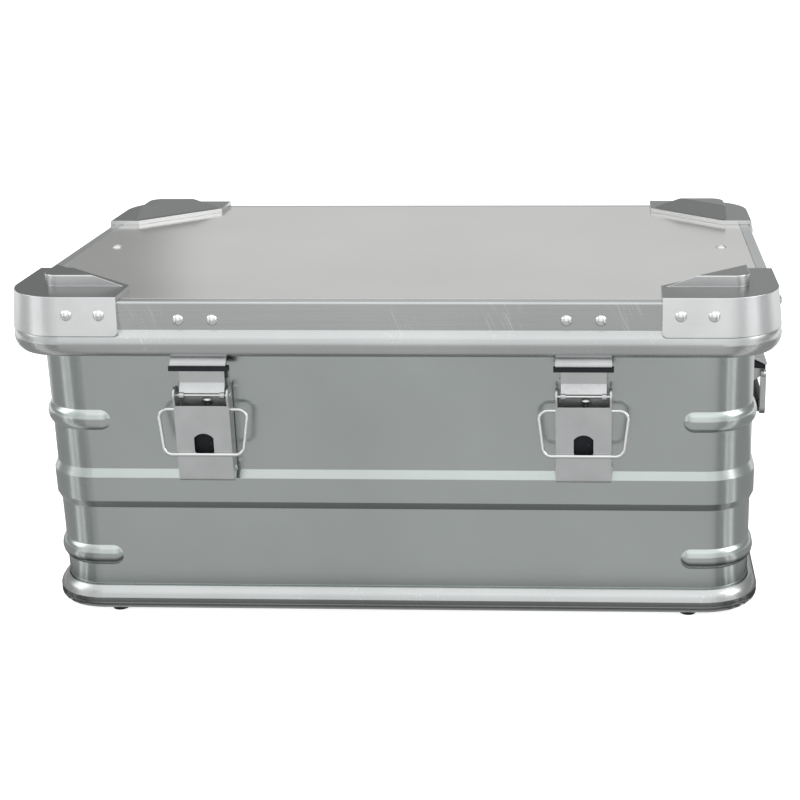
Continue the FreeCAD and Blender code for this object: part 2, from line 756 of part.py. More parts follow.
def handle_grip():
    """Black sleeve moulded round the bow's bottom bar."""
    y = HANDLE_INNER - 8.0
    low, high = HANDLE_BOTTOM - 1.3, HANDLE_BOTTOM + HANDLE_BAR + 1.4
    x0, x1 = HANDLE_X - 5.6, HANDLE_X + 3.4
    middle = (x0 + x1) / 2
    outer = [
        (x0, low + 4.0),
        ((middle, low), (x1, low + 4.0)),
        (x1, high - 4.0),
        ((middle, high), (x0, high - 4.0)),
    ]
    sleeve = end_prism(outer, -y, y)
    bar = box(
        HANDLE_X - 2.25, HANDLE_X + 2.25, -y - 1, y + 1, HANDLE_BOTTOM,
        HANDLE_BOTTOM + HANDLE_BAR,
    )
    return sleeve.cut(bar)


def handle_rivets():
    face = TUB_W / 2 + 2.05
    return group(
        [
            rivet(V(side * face, sy * 69.0, z), V(side, 0, 0))
            for side in (-1, 1)
            for sy in (-1, 1)
            for z in (157.0, 177.0)
        ]
    )


# ---- lid stays ----------------------------------------------------------------------------------
def stay_fold(t):
    """Point (y, z) of the folded strap, t from its anchor (0) to the lid (1). It is as far from
    the hinge as the straight strap is where this point lies with the lid open, if the strap
    turns by a share t * t * (3 - 2 * t) of the lid's angle."""
    lid_angle = math.radians(LID_OPEN)
    rise = STAY_LOW - HINGE_Z + (STAY_HIGH - STAY_LOW) * t
    low = math.atan2(STAY_LOW - HINGE_Z, HINGE_Y), math.hypot(STAY_LOW - HINGE_Z, HINGE_Y)
    high = (
        math.atan2(STAY_HIGH - HINGE_Z, HINGE_Y) + lid_angle,
        math.hypot(STAY_HIGH - HINGE_Z, HINGE_Y),
    )
    start = V(low[1] * math.cos(low[0]), low[1] * math.sin(low[0]), 0)
    end = V(high[1] * math.cos(high[0]), high[1] * math.sin(high[0]), 0)
    nearest = start + (end - start) * (-start.dot(end - start) / (end - start).dot(end - start))
    square = math.atan2(nearest.y, nearest.x)
    reach = start.Length
    for _ in range(60):
        angle = math.asin(rise / reach) + lid_angle * t * t * (3 - 2 * t)
        reach = nearest.Length / math.cos(angle - square)
    return HINGE_Y - math.sqrt(reach * reach - rise * rise), HINGE_Z + rise


def stay_strap():
    """Webbing folded back between its anchor and the lid's stay rivet, right side."""
    steps = 24
    path = [V(0, *stay_fold(i / steps)) for i in range(steps + 1)]
    near, far = [], []
    for i, p in enumerate(path):
        before, after = path[max(i - 1, 0)], path[min(i + 1, steps)]
        along = (after - before).normalize()
        aside = V(0, -along.z, along.y) * (STAY_T / 2)
        near.append(p + aside)
        far.append(p - aside)
    outline = [(p.y, p.z) for p in near + far[::-1]]
    return side_prism(outline, STAY_X - STAY_HALF, STAY_X + STAY_HALF)


def stay_anchor():
    """Angle riveted inside the right end wall, whose level leg carries the strap's end."""
    wall = TUB_W / 2 - SHEET - 0.05
    inner = STAY_X - STAY_HALF
    leg = [(inner, 217.6), (wall - 2, 217.6), (wall - 2, 196), (wall, 196), (wall, 219.6),
           (inner, 219.6)]
    shape = [end_prism(leg, -12.0, 12.0)]
    shape.append(rivet(V(wall - 2.0, 0, 205.5), V(-1, 0, 0), 4.0, 2.0))
    return joined(shape)


# ---- all sub-parts --------------------------------------------------------------------------------
def sub_parts():
    made = {
        "tub_wall": tub_wall(),
        "tub_floor": tub_floor(),
        "base_frame": base_frame(),
        "tub_rim": tub_rim(),
        "feet": feet(),
        "lid_panel": lid_panel(),
        "lid_frame": lid_frame(),
        "lid_seal": lid_seal(),
        "cap_rivets": cap_rivets(),
        "band_rivets": band_rivets(),
        "stay_rivets": stay_rivets(),
        "latch_base_rivets": latch_base_rivets(),
        "hinge_rivets": hinge_rivets(),
        "handle_rivets": handle_rivets(),
    }
    cap = corner_cap().cut(made["lid_frame"])
    for depth, across_y in (("front", False), ("rear", True)):
        for side, across_x in (("right", False), ("left", True)):
            made[f"cap_{depth}_{side}"] = mirrored(cap, across_x, across_y)
    latch_pieces = {
        "strike": strike,
        "strike_buffer": strike_buffer,
        "latch_base": latch_base,
        "latch_pivot": latch_pivot,
        "latch_buffer": latch_buffer,
        "latch_rod": latch_rod,
        "latch_lever": latch_lever,
        "latch_claw": latch_claw,
        "bail": bail,
    }
    hinge_pieces = {
        "hinge_leaf_tub": hinge_leaf_tub,
        "hinge_leaf_lid": hinge_leaf_lid,
        "hinge_pin": hinge_pin,
    }
    right_pieces = {
        "handle_bracket": handle_bracket,
        "handle_buffer": handle_buffer,
        "handle_pin": handle_pin,
        "handle_bow": handle_bow,
        "handle_grip": handle_grip,
        "stay_strap": stay_strap,
        "stay_anchor": stay_anchor,
    }
    for side, sign in (("left", -1), ("right", 1)):
        for name, make in latch_pieces.items():
            made[f"{name}_{side}"] = make(sign * LATCH_X)
        for name, make in hinge_pieces.items():
            made[f"{name}_{side}"] = make(sign * HINGE_X)
        for name, make in right_pieces.items():
            made[f"{name}_{side}"] = mirrored(make(), across_x=sign < 0)
    return made


def main():
    os.makedirs(OUT, exist_ok=True)
    for name, shape in sorted(sub_parts().items()):
        solids = shape.Solids
        state = "ok" if shape.isValid() and solids else "BAD"
        print(f"{name}: {len(solids)} solid(s), {sum(s.Volume for s in solids):.1f} mm3, {state}")
        shape.exportStep(os.path.join(OUT, name + ".step"))


main()
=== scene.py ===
"""Looks for an aluminium transport case with a hinged lid, snap latches and drop handles."""

import json
import math

import bpy
from bpy.props import FloatProperty, FloatVectorProperty, IntProperty, PointerProperty
from mathutils import Matrix, Vector


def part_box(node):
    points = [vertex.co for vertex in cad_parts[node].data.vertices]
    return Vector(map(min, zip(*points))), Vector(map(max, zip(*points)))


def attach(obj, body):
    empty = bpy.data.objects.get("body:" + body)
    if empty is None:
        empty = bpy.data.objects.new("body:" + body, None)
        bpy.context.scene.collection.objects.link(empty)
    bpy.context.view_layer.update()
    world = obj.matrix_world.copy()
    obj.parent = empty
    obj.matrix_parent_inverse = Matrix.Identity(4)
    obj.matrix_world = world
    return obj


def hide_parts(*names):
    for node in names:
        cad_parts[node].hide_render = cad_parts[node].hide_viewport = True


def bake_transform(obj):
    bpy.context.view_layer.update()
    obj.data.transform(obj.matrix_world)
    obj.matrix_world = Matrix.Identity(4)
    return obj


bl_info = {
    "name": "Transport Case",
    "version": (1, 0, 0),
    "blender": (4, 5, 0),
    "location": "3D View > Sidebar > Case",
    "description": "Finishes, straps and springs of an aluminium transport case, and its stage",
    "category": "Object",
}

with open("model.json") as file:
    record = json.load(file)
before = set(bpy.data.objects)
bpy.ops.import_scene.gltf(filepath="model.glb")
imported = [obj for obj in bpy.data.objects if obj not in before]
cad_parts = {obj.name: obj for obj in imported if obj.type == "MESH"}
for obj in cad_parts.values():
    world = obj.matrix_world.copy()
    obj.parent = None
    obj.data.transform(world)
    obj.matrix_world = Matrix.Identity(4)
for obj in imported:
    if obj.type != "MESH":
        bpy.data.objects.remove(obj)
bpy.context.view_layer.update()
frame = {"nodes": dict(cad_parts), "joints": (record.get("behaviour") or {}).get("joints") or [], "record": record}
NODES = frame["nodes"]
JOINTS = {joint["name"]: joint for joint in frame["joints"]}
SIDES = (("left", -1), ("right", 1))
MM = 0.001


def colour_property(name, description, default):
    return FloatVectorProperty(
        name=name, description=description, default=default, subtype="COLOR", size=3, min=0, max=1
    )


# ---- what a user may change --------------------------------------------------------------------
class CaseFinishes(bpy.types.PropertyGroup):
    body: colour_property("Body sheet", "Colour of the brushed tub sheet", (0.52, 0.56, 0.545))
    lid: colour_property("Lid sheet", "Colour of the lid's top sheet", (0.80, 0.785, 0.76))
    frame: colour_property("Extrusions", "Colour of the base and lid frames", (0.54, 0.55, 0.55))
    cap: colour_property("Corner caps", "Colour of the stacking corner caps", (0.72, 0.725, 0.73))
    rivet: colour_property("Rivets", "Colour of the rivet heads", (0.80, 0.80, 0.79))
    steel: colour_property("Latch steel", "Colour of the plated latch plates", (0.60, 0.605, 0.61))
    wire: colour_property("Bright steel", "Colour of rods, pins and wire", (0.72, 0.72, 0.72))
    rubber: colour_property("Rubber", "Colour of the rubber pieces", (0.010, 0.011, 0.014))
    grip: colour_property("Grip", "Colour of the handles' grips", (0.022, 0.022, 0.024))
    webbing: colour_property("Webbing", "Colour of the lid stay straps", (0.03, 0.031, 0.035))


class CaseSizes(bpy.types.PropertyGroup):
    strap_thickness: FloatProperty(
        name="Strap thickness", description="Thickness of the stay straps", default=1.4 * MM,
        unit="LENGTH",
    )
    strap_steps: IntProperty(
        name="Strap steps", description="Lengths that a strap is divided into", default=72, min=12
    )
    spring_wire: FloatProperty(
        name="Spring wire", description="Diameter of the latch springs' wire", default=0.9 * MM,
        unit="LENGTH",
    )
    spring_turns: IntProperty(
        name="Spring turns", description="Turns on each side of a latch spring", default=4, min=1
    )


class CaseStage(bpy.types.PropertyGroup):
    floor: colour_property("Floor", "Colour of the plain floor", (0.93, 0.93, 0.93))
    world: FloatProperty(
        name="Surroundings", description="Brightness of the room round the case", default=0.85
    )
    key: FloatProperty(
        name="Key light", description="Power of the light above the front", default=13.0,
        unit="POWER",
    )
    fill: FloatProperty(
        name="Fill light", description="Power of each side light", default=9.0, unit="POWER"
    )


# ---- node helpers ------------------------------------------------------------------------------
def add(tree, kind, values=None, **settings):
    """New node with its settings and the values or links of its inputs."""
    node = tree.nodes.new(kind)
    for name, value in settings.items():
        setattr(node, name, value)
    for name, value in (values or {}).items():
        if isinstance(value, bpy.types.NodeSocket):
            tree.links.new(value, node.inputs[name])
        else:
            node.inputs[name].default_value = value
    return node


def new_group(name, inputs, outputs):
    """Empty node group with named sockets: (name, socket kind, default) and (name, kind)."""
    tree = bpy.data.node_groups.new(name, "ShaderNodeTree")
    for label, kind, default in inputs:
        socket = tree.interface.new_socket(label, in_out="INPUT", socket_type=kind)
        socket.default_value = default
    for label, kind in outputs:
        tree.interface.new_socket(label, in_out="OUTPUT", socket_type=kind)
    return tree, tree.nodes.new("NodeGroupInput").outputs, tree.nodes.new("NodeGroupOutput").inputs


def scaled_noise(tree, stretch, detail, rough=0.55):
    """Noise on Object coordinates, stretched by a vector of cycles per metre."""
    place = add(tree, "ShaderNodeTexCoord").outputs["Object"]
    vector = add(tree, "ShaderNodeVectorMath", {0: place, 1: stretch}, operation="MULTIPLY")
    values = {"Vector": vector.outputs[0], "Scale": 1.0, "Detail": detail, "Roughness": rough}
    return add(tree, "ShaderNodeTexNoise", values).outputs["Fac"]


def between(tree, value, low, high, to_low=0.0, to_high=1.0):
    """The value carried from one range to another, and held inside it."""
    values = {
        "Value": value, "From Min": low, "From Max": high, "To Min": to_low, "To Max": to_high
    }
    return add(tree, "ShaderNodeMapRange", values).outputs["Result"]


def maths(tree, operation, a, b):
    """Result of a sum on two values or links."""
    return add(tree, "ShaderNodeMath", {0: a, 1: b}, operation=operation).outputs[0]


def vector_maths(tree, operation, a, b=(0.0, 0.0, 0.0)):
    """Node for a sum on one or two vectors or links."""
    return add(tree, "ShaderNodeVectorMath", {0: a, 1: b}, operation=operation)


FLOAT, VECTOR = "NodeSocketFloat", "NodeSocketVector"


def brushed_grain_group():
    """Fine brushing: long thin lines, with a slow change in how strong they are."""
    tree, source, sink = new_group(
        "brushed_grain",
        [("Stretch", VECTOR, (8.0, 8.0, 2600.0)), ("Cloud Scale", FLOAT, 7.0)],
        [("Grain", FLOAT), ("Cloud", FLOAT)],
    )
    fine = scaled_noise(tree, source["Stretch"], 2.0)
    tree.links.new(between(tree, fine, 0.25, 0.75), sink["Grain"])
    place = add(tree, "ShaderNodeTexCoord").outputs["Object"]
    values = {"Vector": place, "Scale": source["Cloud Scale"], "Detail": 4.0}
    cloud = add(tree, "ShaderNodeTexNoise", values).outputs["Fac"]
    tree.links.new(between(tree, cloud, 0.3, 0.7), sink["Cloud"])
    return tree


def soft_edge_group():
    """Rounded edge highlights, and a mask of the edges for wear."""
    tree, source, sink = new_group(
        "soft_edge", [("Radius", FLOAT, 0.4 * MM)], [("Normal", VECTOR), ("Edge", FLOAT)]
    )
    bevel = add(tree, "ShaderNodeBevel", {"Radius": source["Radius"]}, samples=4).outputs[0]
    plain = add(tree, "ShaderNodeNewGeometry").outputs["Normal"]
    dot = add(tree, "ShaderNodeVectorMath", {0: bevel, 1: plain}, operation="DOT_PRODUCT")
    tree.links.new(bevel, sink["Normal"])
    tree.links.new(between(tree, dot.outputs["Value"], 0.995, 0.93), sink["Edge"])
    return tree


def scuff_group():
    """Sparse short scratches lying in one direction."""
    tree, source, sink = new_group(
        "scuffs",
        [("Stretch", VECTOR, (900.0, 900.0, 40.0)), ("Turn", FLOAT, 0.4), ("Amount", FLOAT, 0.5)],
        [("Scuff", FLOAT)],
    )
    place = add(tree, "ShaderNodeTexCoord").outputs["Object"]
    turned = add(
        tree, "ShaderNodeVectorRotate", {"Vector": place, "Angle": source["Turn"]},
        rotation_type="Y_AXIS",
    )
    vector = add(
        tree, "ShaderNodeVectorMath", {0: turned.outputs[0], 1: source["Stretch"]},
        operation="MULTIPLY",
    )
    values = {"Vector": vector.outputs[0], "Scale": 1.0, "Detail": 1.0}
    lines = add(tree, "ShaderNodeTexNoise", values).outputs["Fac"]
    values = {"Vector": place, "Scale": 22.0, "Detail": 2.0}
    patches = add(tree, "ShaderNodeTexNoise", values).outputs["Fac"]
    both = maths(
        tree, "MULTIPLY", between(tree, lines, 0.6, 0.72), between(tree, patches, 0.5, 0.62)
    )
    tree.links.new(maths(tree, "MULTIPLY", both, source["Amount"]), sink["Scuff"])
    return tree


def weave_group():
    """Plain weave on the piece's own UV map, in threads along U and V."""
    tree, source, sink = new_group(
        "webbing_weave", [("Threads", VECTOR, (10.0, 120.0, 1.0))], [("Height", FLOAT)]
    )
    uv = add(tree, "ShaderNodeTexCoord").outputs["UV"]
    vector = add(
        tree, "ShaderNodeVectorMath", {0: uv, 1: source["Threads"]}, operation="MULTIPLY"
    ).outputs[0]
    axes = add(tree, "ShaderNodeSeparateXYZ", {0: vector}).outputs
    waves = []
    for axis in ("X", "Y"):
        turn = maths(tree, "MULTIPLY", axes[axis], math.tau)
        waves.append(add(tree, "ShaderNodeMath", {0: turn}, operation="SINE").outputs[0])
    crossing = maths(tree, "MULTIPLY", waves[0], waves[1])
    tree.links.new(between(tree, crossing, -1.0, 1.0), sink["Height"])
    return tree


GROUPS = {}


def shared(tree, kind, **values):
    """A shared effect placed in a material with its own values."""
    node = tree.nodes.new("ShaderNodeGroup")
    node.node_tree = GROUPS[kind]
    for name, value in values.items():
        node.inputs[name.replace("_", " ")].default_value = value
    return node.outputs


# ---- materials ---------------------------------------------------------------------------------
ALONG_X = (10.0, 10.0, 2400.0)      # lines that run level round the upright faces
ACROSS_TOP = (9.0, 1500.0, 40.0)    # lines that run left to right on the flat top
DRAWN = (6.0, 6.0, 900.0)           # die lines along an extrusion
TUMBLED = (420.0, 420.0, 420.0)     # even, directionless


def shaded(tree, colour, low, high, mask):
    """The colour, between two strengths of itself by a mask."""
    ramp = add(tree, "ShaderNodeMix", {"Factor": mask}, data_type="RGBA")
    ramp.inputs["A"].default_value = tuple(c * low for c in colour) + (1.0,)
    ramp.inputs["B"].default_value = tuple(min(c * high, 1.0) for c in colour) + (1.0,)
    return ramp.outputs["Result"]


def metal(name, colour, rough, grain, grain_height, aniso=0.0, scuff=0.0, edge=0.35, cloud=7.0,
          painted_top_shade=0.0):
    """Bare or plated sheet metal with brushing, slow clouding, scuffs, softened edges and, when asked, painted
    shade on faces that point up.
    """
    material = bpy.data.materials.new(name)
    material.use_nodes = True
    tree = material.node_tree
    shader = tree.nodes["Principled BSDF"]
    shader.inputs["Metallic"].default_value = 1.0
    shader.inputs["Anisotropic"].default_value = aniso
    shader.inputs["Anisotropic Rotation"].default_value = 0.0
    brushing = shared(tree, "brushed_grain", Stretch=grain, Cloud_Scale=cloud)
    edges = shared(tree, "soft_edge", Radius=edge * MM)
    base = shaded(tree, colour, 0.93, 1.05, brushing["Cloud"])
    base = blended(tree, base, [min(c * 1.12, 1.0) for c in colour], edges["Edge"])
    # Painted shade: faces that point up are darkened by the given share of their colour.
    if painted_top_shade:
        facing = add(tree, "ShaderNodeNewGeometry").outputs["Normal"]
        upward = add(tree, "ShaderNodeSeparateXYZ", {0: facing}).outputs["Z"]
        top_shade_mask = between(tree, upward, 0.5, 0.85)
        base = blended(tree, base, [c * (1 - painted_top_shade) for c in colour], top_shade_mask)
    height = brushing["Grain"]
    roughness = between(tree, brushing["Grain"], 0.0, 1.0, rough * 0.86, rough * 1.14)
    if scuff:
        marks = shared(tree, "scuffs", Amount=scuff)["Scuff"]
        base = blended(tree, base, [min(c * 1.3, 1.0) for c in colour], marks)
        height = maths(tree, "SUBTRACT", height, marks)
    values = {"Height": height, "Normal": edges["Normal"], "Strength": 0.35,
              "Distance": grain_height * MM}
    bump = add(tree, "ShaderNodeBump", values)
    tree.links.new(base, shader.inputs["Base Color"])
    tree.links.new(roughness, shader.inputs["Roughness"])
    tree.links.new(bump.outputs["Normal"], shader.inputs["Normal"])
    if aniso:
        tangent = add(tree, "ShaderNodeTangent", direction_type="RADIAL", axis="Z")
        tree.links.new(tangent.outputs[0], shader.inputs["Tangent"])
    return material


def blended(tree, colour, other, mask):
    """A linked colour mixed towards a plain one by a mask."""
    node = add(tree, "ShaderNodeMix", data_type="RGBA")
    tree.links.new(mask, node.inputs[0])
    tree.links.new(colour, node.inputs[6])
    node.inputs[7].default_value = tuple(other) + (1.0,)
    return node.outputs[2]


def soft_black(name, colour, rough, grain, height):
    """Moulded rubber or plastic with a fine grain and dusty high spots."""
    material = bpy.data.materials.new(name)
    material.use_nodes = True
    tree = material.node_tree
    shader = tree.nodes["Principled BSDF"]
    shader.inputs["Specular IOR Level"].default_value = 0.2
    brushing = shared(tree, "brushed_grain", Stretch=grain, Cloud_Scale=26.0)
    edges = shared(tree, "soft_edge", Radius=0.5 * MM)
    base = blended(tree, shaded(tree, colour, 0.8, 1.5, brushing["Cloud"]),
                   [c * 3 for c in colour], edges["Edge"])
    roughness = between(tree, brushing["Grain"], 0.0, 1.0, rough * 0.85, min(rough * 1.15, 1.0))
    values = {"Height": brushing["Grain"], "Normal": edges["Normal"], "Strength": 0.5,
              "Distance": height * MM}
    bump = add(tree, "ShaderNodeBump", values)
    tree.links.new(base, shader.inputs["Base Color"])
    tree.links.new(roughness, shader.inputs["Roughness"])
    tree.links.new(bump.outputs["Normal"], shader.inputs["Normal"])
    return material


def woven(name, colour):
    """Webbing with a coarse weave, with painted shade in the weave's hollows and a painted highlight on its raised
    threads.
    """
    material = bpy.data.materials.new(name)
    material.use_nodes = True
    tree = material.node_tree
    shader = tree.nodes["Principled BSDF"]
    shader.inputs["Sheen Weight"].default_value = 0.4
    weave = shared(tree, "webbing_weave", Threads=(11.0, 150.0, 1.0))["Height"]
    values = {"Height": weave, "Strength": 0.8, "Distance": 0.35 * MM}
    bump = add(tree, "ShaderNodeBump", values)
    # Painted shade and highlight: the colour follows the weave's height, dark in its hollows and light on its
    # crowns.
    tree.links.new(shaded(tree, colour, 0.5, 2.2, weave), shader.inputs["Base Color"])
    tree.links.new(between(tree, weave, 0.0, 1.0, 0.95, 0.7), shader.inputs["Roughness"])
    tree.links.new(bump.outputs["Normal"], shader.inputs["Normal"])
    return material


def nodes_of(slot):
    return [NODES[s["node"]] for s in frame["record"]["subparts"] if s["material_slot"] == slot]


def finish_slot(slot, material):
    """Gives every CAD node of a record slot its finished material."""
    found = nodes_of(slot)
    if not found:
        raise RuntimeError(f"no node has the slot {slot}")
    for node in found:
        node.data.materials.clear()
        node.data.materials.append(material)


# ---- operators: finishes -----------------------------------------------------------------------
class CASE_OT_shared_effects(bpy.types.Operator):
    """Build the shared brushing, edge, scuff and weave effects"""

    bl_idname = "case.shared_effects"
    bl_label = "Shared effects"

    def execute(self, context):
        GROUPS["brushed_grain"] = brushed_grain_group()
        GROUPS["soft_edge"] = soft_edge_group()
        GROUPS["scuffs"] = scuff_group()
        GROUPS["webbing_weave"] = weave_group()
        return {"FINISHED"}


class CASE_OT_finish_sheet(bpy.types.Operator):
    """Give the tub and lid sheets their brushed finishes"""

    bl_idname = "case.finish_sheet"
    bl_label = "Tub and lid sheet"

    def execute(self, context):
        colours = context.scene.case_finishes
        finish_slot(
            "body_sheet",
            metal("brushed_body", colours.body, 0.22, ALONG_X, 0.012, aniso=0.5, edge=0.6),
        )
        finish_slot(
            "lid_sheet", metal("satin_lid", colours.lid, 0.14, ACROSS_TOP, 0.008, cloud=4.0)
        )
        return {"FINISHED"}


class CASE_OT_finish_frames(bpy.types.Operator):
    """Give the extruded frames and the corner caps their finishes"""

    bl_idname = "case.finish_frames"
    bl_label = "Frames and caps"

    def execute(self, context):
        colours = context.scene.case_finishes
        finish_slot(
            "extrusion", metal("drawn_frame", colours.frame, 0.27, DRAWN, 0.04, scuff=0.7, edge=0.3)
        )
        # The caps get painted shade on their upward faces.
        finish_slot(
            "corner_cap",
            metal("tumbled_cap", colours.cap, 0.32, TUMBLED, 0.01, edge=0.6, cloud=24.0,
                  painted_top_shade=0.68),
        )
        return {"FINISHED"}


class CASE_OT_finish_fittings(bpy.types.Operator):
    """Give the rivets, latches, hinges, rods and wire their finishes"""

    bl_idname = "case.finish_fittings"
    bl_label = "Fittings"

    def execute(self, context):
        colours = context.scene.case_finishes
        finish_slot("rivet", metal("rivet_metal", colours.rivet, 0.2, TUMBLED, 0.02, edge=0.3))
        finish_slot(
            "latch_steel", metal("plated_steel", colours.steel, 0.38, TUMBLED, 0.004, edge=0.4,
                                 cloud=40.0)
        )
        finish_slot(
            "bright_steel", metal("bright_wire", colours.wire, 0.13, TUMBLED, 0.01, edge=0.2)
        )
        return {"FINISHED"}


class CASE_OT_finish_rubber(bpy.types.Operator):
    """Give the feet, buffers, seal and grips their finishes"""

    bl_idname = "case.finish_rubber"
    bl_label = "Rubber and grips"

    def execute(self, context):
        colours = context.scene.case_finishes
        finish_slot("black_rubber", soft_black("black_rubber", colours.rubber, 0.6, TUMBLED, 0.08))
        finish_slot("seal", soft_black("sponge_seal", colours.rubber, 0.85, (900.0,) * 3, 0.2))
        finish_slot(
            "grip_plastic", soft_black("grip_plastic", colours.grip, 0.45, (1400.0,) * 3, 0.05)
        )
        return {"FINISHED"}


# ---- modelling helpers -------------------------------------------------------------------------
def clear_selection():
    if bpy.context.mode != "OBJECT":
        bpy.ops.object.mode_set(mode="OBJECT")
    bpy.ops.object.select_all(action="DESELECT")


def named(name):
    """The object just added, alone in the selection, with its name and mesh name set."""
    piece = bpy.context.active_object
    piece.name = piece.data.name = name
    return piece


def settled(piece, angle=40.0):
    """Applies the piece's place, so that its object sits at the origin, and smooths it."""
    clear_selection()
    piece.select_set(True)
    bpy.context.view_layer.objects.active = piece
    bpy.ops.object.transform_apply(location=True, rotation=True, scale=True)
    bpy.ops.object.shade_smooth_by_angle(angle=math.radians(angle))
    return piece


def apply_modifier(piece, kind, **settings):
    modifier = piece.modifiers.new(kind.title(), kind)
    for name, value in settings.items():
        setattr(modifier, name, value)
    bpy.context.view_layer.objects.active = piece
    bpy.ops.object.modifier_apply(modifier=modifier.name)


# ---- lid stay straps ---------------------------------------------------------------------------
STRAP_ABOVE_ANCHOR, STRAP_BELOW_LID = 1.2 * MM, 1.1 * MM


def strap_fold(t, low_z, high_z):
    """Point (y, z) of the folded strap's middle line, t from its anchor (0) to the lid (1),
    such that the strap lies straight when the lid is fully open."""
    hinge = JOINTS["lid_hinge"]
    hinge_y, hinge_z = hinge["pos_m"][1:]
    opening = math.radians(hinge["range_deg"][1])
    rise = low_z - hinge_z + (high_z - low_z) * t
    low = Vector((hinge_y, low_z - hinge_z))
    high = Matrix.Rotation(opening, 2) @ Vector((hinge_y, high_z - hinge_z))
    nearest = low + (high - low) * (-low.dot(high - low) / (high - low).length_squared)
    square = math.atan2(nearest.y, nearest.x)
    reach = low.length
    for _ in range(60):
        angle = math.asin(rise / reach) + opening * t * t * (3 - 2 * t)
        reach = nearest.length / math.cos(angle - square)
    return hinge_y - math.sqrt(reach * reach - rise * rise), hinge_z + rise


class CASE_OT_stay_straps(bpy.types.Operator):
    """Make the webbing straps that stop the lid, folded while it is closed"""

    bl_idname = "case.stay_straps"
    bl_label = "Lid stay straps"

    def execute(self, context):
        sizes = context.scene.case_sizes
        webbing = woven("stay_webbing", context.scene.case_finishes.webbing)
        anchor_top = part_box("stay_anchor_right")[1].z
        lid_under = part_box("lid_panel")[0].z
        low_z, high_z = anchor_top + STRAP_ABOVE_ANCHOR, lid_under - STRAP_BELOW_LID
        for side, sign in SIDES:
            low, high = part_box(f"stay_strap_{side}")
            clear_selection()
            bpy.ops.mesh.primitive_grid_add(
                x_subdivisions=4, y_subdivisions=sizes.strap_steps, size=1.0
            )
            strap = named(f"stay_webbing_{side}")
            for vertex in strap.data.vertices:
                across, t = vertex.co.x, min(max(vertex.co.y + 0.5, 0.0), 1.0)
                y, z = strap_fold(t, low_z, high_z)
                vertex.co = ((low.x + high.x) / 2 + across * (high.x - low.x), y, z)
            apply_modifier(strap, "SOLIDIFY", thickness=sizes.strap_thickness, offset=0.0)
            apply_modifier(strap, "BEVEL", width=0.3 * MM, segments=2, limit_method="ANGLE",
                           angle_limit=math.radians(60))
            settled(strap)
            strap.data.materials.append(webbing)
            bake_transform(strap)
            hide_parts(f"stay_strap_{side}")
        return {"FINISHED"}


class CASE_OT_latch_springs(bpy.types.Operator):
    """Make the leg spring that closes each latch, coiled round its pivot pin"""

    bl_idname = "case.latch_springs"
    bl_label = "Latch springs"

    def execute(self, context):
        sizes = context.scene.case_sizes
        wire = metal("spring_wire", context.scene.case_finishes.wire, 0.2, TUMBLED, 0.01, edge=0.1)
        for side, _ in SIDES:
            pivot = Vector(JOINTS[f"lever_{side}_swing"]["pos_m"])
            plate_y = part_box("latch_base_rivets")[1].y
            clear_selection()
            bpy.ops.curve.primitive_nurbs_path_add()
            spring = named(f"latch_spring_{side}")
            points = spring_route(pivot, plate_y, sizes.spring_turns, sizes.spring_wire)
            spline = spring.data.splines[0]
            spline.points.add(len(points) - len(spline.points))
            for point, place in zip(spline.points, points):
                point.co = (*place, 1.0)
            spline.order_u = 3
            spline.use_endpoint_u = True
            spring.data.resolution_u = 3
            spring.data.bevel_depth = sizes.spring_wire / 2
            spring.data.bevel_resolution = 3
            spring.data.use_fill_caps = True
            bpy.ops.object.convert(target="MESH")
            settled(spring)
            spring.data.materials.append(wire)
            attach(spring, "tub")
        return {"FINISHED"}


def spring_route(pivot, plate_y, turns, wire):
    """Points of a leg spring: up the plate, round the pin from side to side, up the lever."""
    coil_r, per_turn, leg_side = 2.9 * MM, 12, 2.0 * MM
    plate_leg_z, lever_leg_z = 24 * MM, 22 * MM
    pitch = wire * 1.15
    half = turns * pitch / 2
    points = [Vector((-half - leg_side, plate_y - pivot.y - 1.4 * MM, plate_leg_z))]
    for i in range(turns * per_turn + 1):
        turn = math.tau * i / per_turn
        across = (i / per_turn - turns / 2) * pitch
        points.append(Vector((across, coil_r * math.cos(turn), coil_r * math.sin(turn))))
    points.append(Vector((half + leg_side, -3.6 * MM, lever_leg_z)))
    return [pivot + p for p in points]


# ---- stage -------------------------------------------------------------------------------------
CAMERA_PLACE = Vector((163.8, -1360.3, 552.5)) * MM
CAMERA_RIGHT = Vector((0.99916, 0.04006, -0.00851))
CAMERA_DOWN = Vector((0.00498, -0.32506, -0.94568))
CAMERA_LENS = 72.13
CAMERA_SHIFT = (-0.175, 0.05)


def make_camera():
    clear_selection()
    bpy.ops.object.camera_add()
    camera = bpy.context.active_object
    camera.name = "camera"
    right = CAMERA_RIGHT.normalized()
    back = right.cross(-CAMERA_DOWN).normalized()
    up = back.cross(right)
    turn = Matrix((right, up, back)).transposed().to_4x4()
    camera.matrix_world = Matrix.Translation(CAMERA_PLACE) @ turn
    camera.data.lens = CAMERA_LENS
    camera.data.sensor_width = 36.0
    camera.data.shift_x, camera.data.shift_y = CAMERA_SHIFT
    camera.data.clip_start, camera.data.clip_end = 0.05, 100.0
    bpy.context.scene.camera = camera


def area_light(name, place, target, width, height, power):
    clear_selection()
    bpy.ops.object.light_add(type="AREA", location=place)
    light = bpy.context.active_object
    light.name = name
    light.rotation_euler = (Vector(target) - Vector(place)).to_track_quat("-Z", "Y").to_euler()
    light.data.shape = "RECTANGLE"
    light.data.size, light.data.size_y = width, height
    light.data.energy = power
    return light
